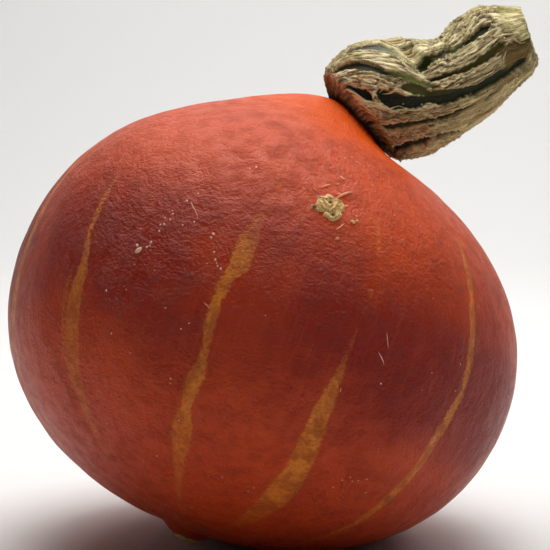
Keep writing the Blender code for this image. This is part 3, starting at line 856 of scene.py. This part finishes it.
def sheets(fibre, count, waves, sharp):
    """Lapping sheets of cork round the stem: their height, their lips and the cracks at them."""
    phase = (count * fibre / (2 * math.pi) + waves) % 1.0
    lip = np.exp(-(((1 - phase) / sharp) ** 2))
    crack = np.exp(-((phase / (0.75 * sharp)) ** 2))
    return phase**1.5, lip, crack


def bark(around, along, from_seam):
    """The stem's covering: how far each point stands out in mm, and what is there."""
    fibre = fibre_angle(around, along)
    tube = np.stack([STEM_RADIUS * np.cos(fibre), STEM_RADIUS * np.sin(fibre),
                     along * STEM_LENGTH], axis=-1)
    # Lengths read shorter, which draws a pattern out along the fibres
    drawn_out = tube * (1.0, 1.0, 0.22)
    half_drawn = tube * (1.0, 1.0, 0.36)
    short = tube * (1.0, 1.0, 0.6)

    # Grooves with wandering edges, and the raised rims beside them
    wander = 1.3 * noise_at(short, 0.0042, 1) + 0.8 * noise_at(tube, 0.0017, 2)
    reach, tone = groove_pattern(around, along, wander)
    groove = smooth_step(reach, -0.6, 0.5)
    hollow = smooth_step(reach, -2.5, 2.0)
    rim = np.exp(-(((reach + 1.0) / 1.1) ** 2))

    # Two layers of torn sheets, each only in patches, with shreds and crumples over them
    waves = 1.5 * noise_at(half_drawn, 0.0046, 4) + 0.5 * noise_at(half_drawn, 0.0018, 5)
    wide, wide_lip, wide_crack = sheets(fibre, WIDE_SHEETS, waves, 0.17)
    waves = 1.4 * noise_at(half_drawn, 0.0034, 6) + 0.6 * noise_at(half_drawn, 0.0013, 7)
    small, small_lip, small_crack = sheets(fibre, SMALL_SHEETS, waves, 0.22)
    torn = smooth_step(noise_at(drawn_out, 0.0042, 8), -0.35, 0.2)
    fine = smooth_step(noise_at(drawn_out, 0.003, 9), -0.35, 0.15)
    shred = noise_at(drawn_out, 0.0011, 10)
    crumple = 1 - 2.4 * np.abs(noise_at(short, 0.0024, 11))

    # Grooves of a light tone are shallow, so that they show from the side
    cork = 1 - groove
    deep = GROOVE_DEPTH * (1 - 0.8 * smooth_step(tone, 0.45, 0.65))
    relief = 0.45 * (1 - hollow) + torn * (0.60 * wide + 0.28 * wide_lip - 0.55 * wide_crack)
    relief += fine * (0.28 * small + 0.20 * small_lip - 0.38 * small_crack) + 0.12 * crumple
    relief = cork * (relief + 0.3 * rim) - deep * hollow + 0.09 * shred

    # Dried flesh past a ragged edge, and smooth olive-brown skin low on the front before it
    degrees = np.degrees(around) % 360
    ragged = 0.034 * noise_at(drawn_out, 0.0024, 13) + 0.014 * noise_at(tube, 0.0012, 14)
    flesh_from = np.interp(degrees, *np.array(FLESH_EDGE, float).T)
    flesh = smooth_step(along + ragged - flesh_from, -0.003, 0.005)
    fluted = 0.7 * noise_at(half_drawn, 0.0026, 15) + 0.3 * crumple + 0.2 * shred
    relief = relief * (1 - flesh) + flesh * (fluted + 0.9)
    olive = smooth_step(degrees + 3.0 * wander, 98.0, 102.0)
    olive *= smooth_step(-degrees - 3.0 * wander, -136.0, -131.0)
    olive *= smooth_step(along + 0.012 * wander, 0.795, 0.83) * (1 - flesh)
    relief = relief * (1 - 0.55 * olive) - BARK_THICKNESS

    # The covering grows thin towards the seam with the neck
    near_seam = smooth_step(from_seam, 0.0004, 0.0032)
    seam = np.exp(-((from_seam / 0.0011) ** 2))
    return {
        "relief": relief * (0.25 + 0.75 * near_seam) - 1.0 * seam,
        "groove": groove * (1 - flesh),
        "tone": tone,
        # lip and crack also carry a painted highlight and painted shade
        "lip": cork * np.maximum(np.maximum(torn * wide_lip, 0.7 * fine * small_lip), 0.7 * rim),
        "crack": cork * np.maximum(torn * wide_crack, 0.8 * fine * small_crack),
        "flesh": flesh,
        "olive": olive,
        # Painted shade: darker towards the seam with the neck, near black in it
        "foot": np.exp(-((from_seam / 0.0052) ** 2)),
        "seam": seam,
        # Painted highlight on the side that faces the light, and painted shade away from it
        "painted_light_side": smooth_step(np.cos(around - PAINTED_LIGHT_SIDE), 0.5, 0.95),
        "fibre": drawn_out,
    }


# What the cork's finish reads from the covering, point by point
COVERINGS = ("groove", "tone", "lip", "crack", "flesh", "olive", "foot", "seam", "painted_light_side")


def above_skin(points, skin):
    """How far each point is above the fruit's skin, and the normal of its nearest place there."""
    nearest = [skin.find_nearest(point) for point in points.tolist()]
    place = np.array([hit[0] for hit in nearest])
    normal = np.array([hit[1] for hit in nearest])
    return ((points - place) * normal).sum(axis=1), normal


def seam_line(skin):
    """Where along the stem each of its sides comes out of the neck."""
    around = np.arange(STEM_SIDES) * 2 * math.pi / STEM_SIDES
    tries = np.linspace(0.0, 0.36, 73)
    inside = np.zeros(STEM_SIDES)
    for along in tries:
        points = stem_skin(around, np.full(STEM_SIDES, along), np.ones(STEM_SIDES))
        height, _ = above_skin(points, skin)
        inside = np.where(height < SEAM_GAP, along, inside)
    seam = inside + tries[1] / 2
    for _ in range(12):
        seam = (np.roll(seam, 1) + 2 * seam + np.roll(seam, -1)) / 4
    return seam


def stem(cork, flesh, skin, seam):
    """The whole stem: its foot on the neck, its flaking wall and its cut face."""
    bm = bmesh.new()
    bmesh.ops.create_uvsphere(bm, u_segments=STEM_SIDES, v_segments=STEM_ROWS, radius=1.0)
    ball = np.array([vert.co for vert in bm.verts])
    around = np.arctan2(ball[:, 1], ball[:, 0]) % (2 * math.pi)
    row = np.arccos(np.clip(ball[:, 2], -1.0, 1.0)) / math.pi * STEM_ROWS
    side = np.round(around / (2 * math.pi) * STEM_SIDES).astype(int) % STEM_SIDES
    last_wall = STEM_ROWS - END_ROWS
    for face in bm.faces:
        face.material_index = int(min(row[vert.index] for vert in face.verts) > last_wall - 0.5)
    piece = shown(bm, "corky_stem", cork, flesh)
    mesh = piece.data

    share = np.clip((row - FOOT_ROWS) / (last_wall - FOOT_ROWS), 0.0, 1.0)
    along = seam[side] + (1 - seam[side]) * share
    from_seam = (along - seam[side]) * STEM_LENGTH
    spread = np.minimum(row / FOOT_ROWS, (STEM_ROWS - row) / END_ROWS)
    spread = np.clip(spread, 0.0, 1.0)
    on_wall = (row > FOOT_ROWS - 0.5) & (row < last_wall + 0.5)
    on_cut = row > last_wall - 0.5

    covering = bark(around, along, from_seam)
    _, outward = stem_wall(around, along)
    points = stem_skin(around, along, spread)
    at_rim = np.clip(3.0 * spread - 2.0, 0.0, 1.0)
    rise = np.where(on_wall, 1.0, on_cut * at_rim) * covering["relief"]
    points = points + (rise * MM)[:, None] * outward

    ring_place = np.stack([np.cos(around), np.sin(around), 0.0 * around], axis=-1)
    rays = noise_at(ring_place * 5.0 + spread[:, None] * (0.0, 0.0, 1.4), 1.0, 12)
    wear = END_WEAR * (0.5 + 0.5 * noise_at(ring_place, 0.33, 16))
    wear = wear * smooth_step(along, 0.9, 1.0)
    hollow = END_HOLLOW * (1 - spread**2) - END_RAYS * rays * np.minimum(1.0, 3 * (1 - spread))
    hollow = hollow + END_PITH * np.exp(-((spread / 0.12) ** 2))
    axis = np.array(TIP_BACK) @ end_axis()
    points = points - (wear + on_cut * hollow)[:, None] * axis

    # Nothing of the foot may sink into the neck
    low = along < 0.4
    height, normal = above_skin(points[low], skin)
    points[low] = points[low] + np.maximum(SEAM_GAP - height, 0.0)[:, None] * normal
    move_to(mesh, points)
    write_attributes(mesh, {name: covering[name] for name in COVERINGS + ("fibre",)})
    write_attributes(mesh, {"reach": np.where(on_cut, spread, 1.0)})
    return piece


def loose_routes():
    """Seeded routes of small torn lips all over the cork, each along its fibre."""
    dice = random.Random(23)
    lines = fibre_lines(np.linspace(0.0, 1.0, 201))
    routes = []
    for _ in range(LOOSE_LIPS):
        fibre = dice.uniform(FIBRE_NAMES[0], FIBRE_NAMES[-1])
        start = dice.uniform(0.12, 0.84)
        length = dice.uniform(0.025, 0.09)
        sway = dice.uniform(0.8, 2.4)
        pace = dice.uniform(2.0, 5.0)
        route = []
        for step in range(6):
            along = start + length * step / 5
            angle = np.interp(fibre, FIBRE_NAMES, lines[:, round(200 * along)])
            route.append((along, angle + sway * math.sin(pace * step + fibre)))
        routes.append((route, dice.uniform(0.22, 0.36), dice.uniform(0.3, 0.75)))
    return routes


def torn_lips(cork, seam):
    """Curled lips of torn cork that stand up from the stem."""
    routes = list(LIPS) + loose_routes()
    lines = [along_route(route, 2 * len(route) + 3) for route, _, _ in LIPS]
    lines += [along_route(route, 9) for route, _, _ in routes[len(LIPS):]]
    along, degrees = np.concatenate(lines).T
    sides = np.arange(STEM_SIDES) * 360 / STEM_SIDES
    from_seam = (along - np.interp(degrees % 360, sides, seam)) * STEM_LENGTH
    covering = bark(np.radians(degrees), along, from_seam)
    points, outward = stem_wall(np.radians(degrees), along)
    points = points + (covering["relief"] * MM)[:, None] * outward
    # The small scattered lips keep off the grooves, the flesh and the seam
    off_cork = covering["groove"] + covering["flesh"] + (from_seam < 0.003)

    bm = bmesh.new()
    dice = random.Random(5)
    first = 0
    origins = []
    for index, (_, half_width, height) in enumerate(routes):
        steps = len(lines[index])
        span = slice(first, first + steps)
        first += steps
        if index >= len(LIPS) and off_cork[span].max() > 0.4:
            continue
        uneven = np.array([dice.uniform(0.6, 1.0) for _ in range(steps)])
        taper = np.sqrt(np.sin(np.linspace(0.0, math.pi, steps)).clip(0.0)) * uneven * MM
        row = ridge_along(bm, points[span], outward[span], half_width * taper, height * taper,
                          lean=dice.uniform(-0.5, 0.2))
        origins.append(span.start + row)
    bmesh.ops.recalc_face_normals(bm, faces=bm.faces[:])
    piece = shown(bm, "torn_cork_lips", cork)
    mesh = piece.data
    origin = np.concatenate(origins)
    # The raised lips take the painted highlight all over, with less painted shade
    covering["lip"] = np.maximum(covering["lip"], 0.75)
    covering["crack"] = 0.3 * covering["crack"]
    covering["groove"] = 0.0 * covering["groove"]
    write_attributes(mesh, {name: covering[name][origin] for name in COVERINGS})
    write_attributes(mesh, {"fibre": np.array([vert.co for vert in mesh.vertices])})
    return piece


# Finishes

def painted(tree, colour, layers):
    """A colour with thin layers over it, in turn. Each layer gives what it follows, the two
    values between which it fades in, how dense it gets, and its own colour."""
    for follows, start, full, density, tint in layers:
        share = add(tree, "ShaderNodeMapRange", {
            "Value": follows, "From Min": start, "From Max": full, "To Max": density})
        over = linear(tint) if isinstance(tint, str) else tint
        colour = add(tree, "ShaderNodeMix", {"Factor": share, MIX_A: colour, MIX_B: over},
                     out=MIXED, data_type="RGBA")
    return colour


def rind_finish():
    """Waxed winter-squash rind, grown smooth: a leather of fine crosswise wrinkles under a soft
    gloss."""
    made, tree, shader = new_material("waxy_rind")
    place = add(tree, "ShaderNodeTexCoord", out="Object")
    lengthwise, crosswise = (
        add(tree, "ShaderNodeAttribute", out="Vector", attribute_name=name)
        for name in ("lengthwise", "crosswise"))
    inside, strength, neck, belt, low = (
        add(tree, "ShaderNodeAttribute", out="Fac", attribute_name=name)
        for name in ("stripe_inside", "stripe_strength", "neck", "belt", "low"))
    blotch, mottle, streak, speck = (
        add(tree, "ShaderNodeTexNoise", {
            "Vector": vector, "Scale": cells(size_mm), "Detail": detail, "Roughness": rough})
        for vector, size_mm, detail, rough in (
            (place, 30.0, 3.0, 0.55), (place, 4.5, 4.0, 0.6),
            (lengthwise, 2.0, 4.0, 0.65), (place, 0.9, 2.0, 0.6)))

    # Orange-red above and below, deep red round the middle, orange on the neck
    shift = add(tree, "ShaderNodeMath", {0: blotch, 1: 0.9, 2: -0.45}, operation="MULTIPLY_ADD")
    red = add(tree, "ShaderNodeMath", {0: belt, 1: shift}, operation="ADD", use_clamp=True)
    uneven = add(tree, "ShaderNodeMapRange", {
        "Value": blotch, "From Min": 0.3, "From Max": 0.6, "To Min": 0.75})
    neck = add(tree, "ShaderNodeMath", {0: neck, 1: uneven}, operation="MULTIPLY")
    body = painted(tree, linear("#d04a14"), (
        (red, 0.0, 1.0, 1.0, "#8f200d"),
        (low, 0.0, 1.0, 1.0, "#bd3f18"),
        (mottle, 0.46, 0.70, 0.32, "#84200e"),
        (blotch, 0.5, 0.38, 0.2, "#d0480c"),
        (streak, 0.52, 0.78, 0.35, "#bc5028"),
        (neck, 0.0, 1.0, 1.0, "#f05c08"),
        (speck, 0.58, 0.72, 0.3, "#7c1e10"),
    ))

    # Stripes with ragged edges and small red pores
    ragged = add(tree, "ShaderNodeMath", {0: speck, 1: 2.0, 2: -1.0}, operation="MULTIPLY_ADD")
    ragged = add(tree, "ShaderNodeMath", {0: mottle, 1: 3.0, 2: ragged},
                 operation="MULTIPLY_ADD")
    edge = add(tree, "ShaderNodeMath", {0: inside, 1: ragged}, operation="ADD")
    edge = add(tree, "ShaderNodeMapRange", {
        "Value": edge, "From Min": 1.1, "From Max": 2.1}, interpolation_type="SMOOTHSTEP")
    pores = add(tree, "ShaderNodeMapRange", {
        "Value": speck, "From Min": 0.38, "From Max": 0.5, "To Min": 0.6})
    for part in (strength, pores):
        edge = add(tree, "ShaderNodeMath", {0: edge, 1: part}, operation="MULTIPLY")
    ochre = painted(tree, linear("#e4902e"), ((mottle, 0.4, 0.6, 1.0, "#c06c20"),))
    colour = painted(tree, body, ((edge, 0.0, 1.0, 0.66, ochre),))

    # Wrinkles that are tall in patches, with pores and lengthwise streaks among them
    rough = add(tree, "ShaderNodeMapRange", {
        "Value": mottle, "From Min": 0.3, "From Max": 0.7, "To Min": 0.34, "To Max": 0.48})
    wrinkles = add(tree, "ShaderNodeTexNoise", {
        "Vector": crosswise, "Scale": cells(1.25), "Detail": 5.0, "Roughness": 0.68,
        "Distortion": 0.35})
    small_patches = add(tree, "ShaderNodeMapRange", {
        "Value": mottle, "From Min": 0.38, "From Max": 0.62, "To Min": 0.35, "To Max": 1.2})
    large_patches = add(tree, "ShaderNodeMapRange", {
        "Value": blotch, "From Min": 0.35, "From Max": 0.62, "To Min": 0.5})
    tall = add(tree, "ShaderNodeMath", {0: small_patches, 1: large_patches},
               operation="MULTIPLY")
    relief = add(tree, "ShaderNodeMath", {0: wrinkles, 1: tall}, operation="MULTIPLY")
    for follows, share in ((speck, 0.45), (streak, 0.15)):
        relief = add(tree, "ShaderNodeMath", {0: follows, 1: share, 2: relief},
                     operation="MULTIPLY_ADD")
    bump = add(tree, "ShaderNodeBump", {"Height": relief, "Strength": 1.0, "Distance": 0.0009})
    set_inputs(tree, shader, {"Base Color": colour, "Roughness": rough, "Normal": bump,
                              "IOR": 1.42, "Specular IOR Level": 0.28})
    return made


def cork_finish():
    """Dried peduncle of a winter squash: dull tan cork torn in lapping sheets, with slick dark
    green grooves where the green skin still shows."""
    made, tree, shader = new_material("dry_stem_cork")
    groove, tone, lip, crack, flesh, olive, foot, seam, painted_light_side = (
        add(tree, "ShaderNodeAttribute", out="Fac", attribute_name=name) for name in COVERINGS)
    fibre = add(tree, "ShaderNodeAttribute", out="Vector", attribute_name="fibre")
    place = add(tree, "ShaderNodeTexCoord", out="Object")
    shade, fine, grit, patch = (
        add(tree, "ShaderNodeTexNoise", {
            "Vector": vector, "Scale": cells(size_mm), "Detail": detail, "Roughness": rough})
        for vector, size_mm, detail, rough in (
            (fibre, 3.0, 4.0, 0.65), (fibre, 0.7, 3.0, 0.6),
            (place, 0.8, 3.0, 0.6), (place, 8.0, 2.0, 0.5)))

    # Tan cork, browner and greener in patches, with a painted highlight on its side that faces the
    # light, a painted highlight along its lips and painted shade in its cracks
    # Pale specks of painted highlight on the side that faces the light
    painted_highlight = add(tree, "ShaderNodeMapRange", {
        "Value": fine, "From Min": 0.42, "From Max": 0.54, "To Max": 0.85})
    painted_highlight = add(tree, "ShaderNodeMath", {0: painted_light_side, 1: painted_highlight}, operation="MULTIPLY")
    tan = painted(tree, linear("#96784a"), (
        (shade, 0.4, 0.6, 1.0, "#ecd8a2"),
        (patch, 0.5, 0.66, 0.45, "#8a6444"),
        (patch, 0.48, 0.36, 0.3, "#8c8a48"),
        (fine, 0.54, 0.36, 0.5, "#4c3922"),
        (painted_highlight, 0.0, 1.0, 1.0, "#fff0c0"),
        # Painted highlight along the lips, painted shade in the cracks
        (lip, 0.0, 1.0, 0.7, "#f0e0a6"),
        (crack, 0.0, 1.0, 0.9, "#2a2014"),
    ))

    # The green skin in the grooves, from black to light green, with pale dots
    dots = add(tree, "ShaderNodeTexVoronoi", {"Vector": place, "Scale": cells(3.4)})
    leaf = painted(tree, linear("#14180a"), (
        (tone, 0.0, 0.3, 1.0, "#2b3612"),
        (tone, 0.3, 0.5, 1.0, "#5c5620"),
        (tone, 0.5, 0.65, 1.0, "#34382a"),
        (tone, 0.7, 1.0, 1.0, "#93a058"),
        (grit, 0.45, 0.75, 0.5, "#4e4a2a"),
        (dots, 0.10, 0.06, 0.9, "#b9b98a"),
    ))

    # Dried flesh at the end, darker green away from the light as painted shade, smooth olive-brown
    # skin before it, a brown stain with painted shade at the foot, and a painted shadow along the
    # seam with the neck
    pulp = painted(tree, linear("#8f8240"), (
        (shade, 0.4, 0.6, 1.0, "#ead9a2"),
        # Painted shade: the flesh darker green away from the light
        (painted_light_side, 0.95, 0.55, 0.55, "#6a6c2c"),
        (fine, 0.45, 0.34, 0.6, "#4a3e1c"),
    ))
    # Brown stain and painted shade, darker towards the seam with the neck
    stain_and_shade = add(tree, "ShaderNodeMapRange", {
        "Value": shade, "From Min": 0.35, "From Max": 0.65, "To Min": 0.5, "To Max": 0.95})
    stain_and_shade = add(tree, "ShaderNodeMath", {0: foot, 1: stain_and_shade}, operation="MULTIPLY")
    colour = painted(tree, tan, (
        (groove, 0.0, 1.0, 1.0, leaf),
        (olive, 0.0, 1.0, 0.85, "#6e5426"),
        (flesh, 0.0, 1.0, 1.0, pulp),
        (stain_and_shade, 0.0, 1.0, 1.0, "#363026"),
        # A painted shadow, near black, along the seam with the neck
        (seam, 0.0, 1.0, 1.0, "#1e100c"),
    ))

    rough = add(tree, "ShaderNodeMapRange", {"Value": groove, "To Min": 0.88, "To Max": 0.5})
    relief = add(tree, "ShaderNodeMath", {0: grit, 1: 0.4, 2: fine}, operation="MULTIPLY_ADD")
    off_groove = add(tree, "ShaderNodeMapRange", {
        "Value": groove, "To Min": 1.0, "To Max": 0.3})
    relief = add(tree, "ShaderNodeMath", {0: relief, 1: off_groove}, operation="MULTIPLY")
    bump = add(tree, "ShaderNodeBump", {"Height": relief, "Strength": 1.0, "Distance": 0.0006})
    set_inputs(tree, shader, {"Base Color": colour, "Roughness": rough, "Normal": bump,
                              "Specular IOR Level": 0.3})
    return made


def flesh_finish():
    """The stem's cut face: fibrous flesh that has dried from yellow-green to straw."""
    made, tree, shader = new_material("dried_cut_flesh")
    reach = add(tree, "ShaderNodeAttribute", out="Fac", attribute_name="reach")
    place = add(tree, "ShaderNodeTexCoord", out="Object")
    threads = add(tree, "ShaderNodeTexNoise", {
        "Vector": place, "Scale": cells(1.6), "Detail": 4.0, "Roughness": 0.7})
    colour = painted(tree, linear("#8f7a48"), (
        (threads, 0.0, 1.0, 1.0, "#cfc07e"),
        (reach, 0.22, 0.04, 0.85, "#3c2f1a"),
        (reach, 0.75, 0.98, 0.8, "#80803a"),
    ))
    bump = add(tree, "ShaderNodeBump", {"Height": threads, "Strength": 0.9, "Distance": 0.0006})
    set_inputs(tree, shader, {"Base Color": colour, "Roughness": 0.85, "Normal": bump})
    return made


def scar_finish():
    """Healed cork on squash skin: dry, straw-coloured, with a painted highlight on its lips and
    painted shade in its cracks and holes, and pink where it is peeling skin."""
    made, tree, shader = new_material("healed_scar_cork")
    peel, lip, crack = (
        add(tree, "ShaderNodeAttribute", out="Fac", attribute_name=name)
        for name in ("peel", "lip", "crack"))
    place = add(tree, "ShaderNodeTexCoord", out="Object")
    grit = add(tree, "ShaderNodeTexNoise", {
        "Vector": place, "Scale": cells(0.7), "Detail": 3.0, "Roughness": 0.6})
    colour = painted(tree, linear("#d89c56"), (
        (grit, 0.35, 0.65, 1.0, "#ffd68e"),
        # Painted highlight on the lips, painted shade in the cracks and holes
        (lip, 0.0, 1.0, 0.6, "#fbe6c0"),
        (crack, 0.0, 1.0, 0.92, "#33210f"),
        (peel, 0.0, 1.0, 1.0, "#ff9d78"),
    ))
    bump = add(tree, "ShaderNodeBump", {"Height": grit, "Strength": 0.8, "Distance": 0.0004})
    set_inputs(tree, shader, {"Base Color": colour, "Roughness": 0.85, "Normal": bump})
    return made


def crumb_finish():
    """Dried wax and dust, and painted glints: matt, pale pink from the red around it."""
    made, tree, shader = new_material("wax_crumbs_and_painted_glints")
    place = add(tree, "ShaderNodeTexCoord", out="Object")
    tint = add(tree, "ShaderNodeTexNoise", {"Vector": place, "Scale": cells(9.0)})
    colour = painted(tree, linear("#d2947c"), ((tint, 0.35, 0.65, 1.0, "#f0cdb8"),))
    set_inputs(tree, shader, {"Base Color": colour, "Roughness": 0.7})
    return made


# The stage, the light and the camera

def floor_finish():
    """Matt painted board, almost white."""
    made, tree, shader = new_material("pale_painted_board")
    set_inputs(tree, shader, {"Base Color": linear("#e9e8e6"), "Roughness": 0.9})
    return made


def stage_floor():
    """A pale floor that sweeps up behind the fruit."""
    half_width, back, sweep, wall_height = 1.5, 0.75, 0.5, 1.1
    bm = bmesh.new()
    bmesh.ops.create_grid(bm, x_segments=1, y_segments=1, size=half_width)
    bmesh.ops.translate(bm, vec=(0.0, back - half_width, 0.0), verts=bm.verts[:])
    far_edge = [edge for edge in bm.edges if all(vert.co.y > 0.0 for vert in edge.verts)]
    made = bmesh.ops.spin(bm, geom=far_edge, cent=(0.0, back, sweep), axis=(1, 0, 0),
                          angle=math.pi / 2, steps=16, use_merge=False)
    rim = [item for item in made["geom_last"] if isinstance(item, bmesh.types.BMEdge)]
    wall = bmesh.ops.extrude_edge_only(bm, edges=rim)
    for item in wall["geom"]:
        if isinstance(item, bmesh.types.BMVert):
            item.co.z += wall_height
    shown(bm, "floor", floor_finish())


def soft_light(name, place, target, size, power, spread=180):
    """A rectangular lamp turned to its target: its sides in metres, its power in watts and its
    spread in degrees."""
    lamp = bpy.data.lights.new(name, "AREA")
    lamp.shape = "RECTANGLE"
    lamp.size, lamp.size_y = size
    lamp.energy = power
    lamp.spread = math.radians(spread)
    thing = bpy.data.objects.new(name, lamp)
    thing.location = place
    thing.rotation_euler = (Vector(target) - Vector(place)).to_track_quat("-Z", "Y").to_euler()
    bpy.context.scene.collection.objects.link(thing)
    return thing


def lights():
    """Wide soft light from above, as in the photograph, and light for the stage."""
    centre = (0.0, 0.0, 0.08)
    soft_light("overhead", (0.02, 0.02, 1.0), centre, (0.66, 0.66), 8.1)
    soft_light("overhead_right", (0.6, 0.0, 0.85), centre, (0.6, 0.7), 1.5)
    # A window that shows only as gloss, at the upper left of the rind
    window = soft_light("window", (-0.33, 0.16, 0.98), centre, (0.3, 0.3), 3.2)
    window.data.color = linear("#ffdcc4")[:3]
    window.visible_diffuse = False
    soft_light("overhead_back", (-0.1, 0.5, 0.9), centre, (0.9, 0.5), 2.0)
    soft_light("backdrop_wash", (0.4, 0.62, 1.25), (0.4, 1.25, 0.4), (2.0, 0.2), 10.0)
    # Keeps the near half of the floor pale, for the views from behind
    soft_light("floor_wash", (0.0, -1.5, 1.3), (0.0, -1.5, 0.0), (3.0, 1.0), 24.0, spread=70)
    world = bpy.data.worlds.new("studio")
    world.use_nodes = True
    tree = world.node_tree
    # The room looks pale but gives the fruit next to no light, so the lamps alone shape it
    seen = add(tree, "ShaderNodeLightPath", out="Is Camera Ray")
    strength = add(tree, "ShaderNodeMapRange", {"Value": seen, "To Min": 0.03, "To Max": 0.85})
    set_inputs(tree, tree.nodes["Background"], {
        "Color": linear("#f4f4f4"), "Strength": strength})
    bpy.context.scene.world = world
    bpy.context.scene.view_settings.view_transform = "Standard"


def camera():
    """A camera that frames the fruit as the photograph does."""
    metres_a_pixel = FRUIT_WIDTH / FRUIT_WIDTH_PX
    middle = PICTURE_PX / 2
    right = Vector((1.0, 0.0, 0.0))
    up = Vector((0.0, math.sin(CAMERA_ELEVATION), math.cos(CAMERA_ELEVATION)))
    back = Vector((0.0, -math.cos(CAMERA_ELEVATION), math.sin(CAMERA_ELEVATION)))
    aim = HEART + metres_a_pixel * ((middle - HEART_PX[0]) * right + (HEART_PX[1] - middle) * up)
    lens = bpy.data.cameras.new("camera")
    lens.sensor_width = SENSOR_MM
    lens.lens = SENSOR_MM * CAMERA_DISTANCE / (PICTURE_PX * metres_a_pixel)
    thing = bpy.data.objects.new("camera", lens)
    thing.location = HEART + CAMERA_DISTANCE * back
    thing.rotation_euler = (aim - thing.location).to_track_quat("-Z", "Y").to_euler()
    bpy.context.scene.collection.objects.link(thing)
    bpy.context.scene.camera = thing


def dress():
    """Builds every piece, hides the solid fruit and stem, and hangs each piece on the root body.
    """
    rind = fruit(rind_finish())
    bpy.context.view_layer.update()
    skin = BVHTree.FromObject(rind, bpy.context.evaluated_depsgraph_get())
    cork, scar = cork_finish(), scar_finish()
    seam = seam_line(skin)
    stalk = stem(cork, flesh_finish(), skin, seam)
    lips = torn_lips(cork, seam)
    healed = corky_scar(scar, skin)
    button = blossom_scar(scar, skin)
    specks = crumbs(crumb_finish(), skin)
    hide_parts("fruit")
    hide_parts("stem")
    for piece, slot in ((rind, "rind"), (stalk, "cork"), (lips, "cork"), (healed, "cork"),
                        (button, "cork"), (specks, "rind")):
        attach(piece, "root")


dress()
stage_floor()
lights()
camera()
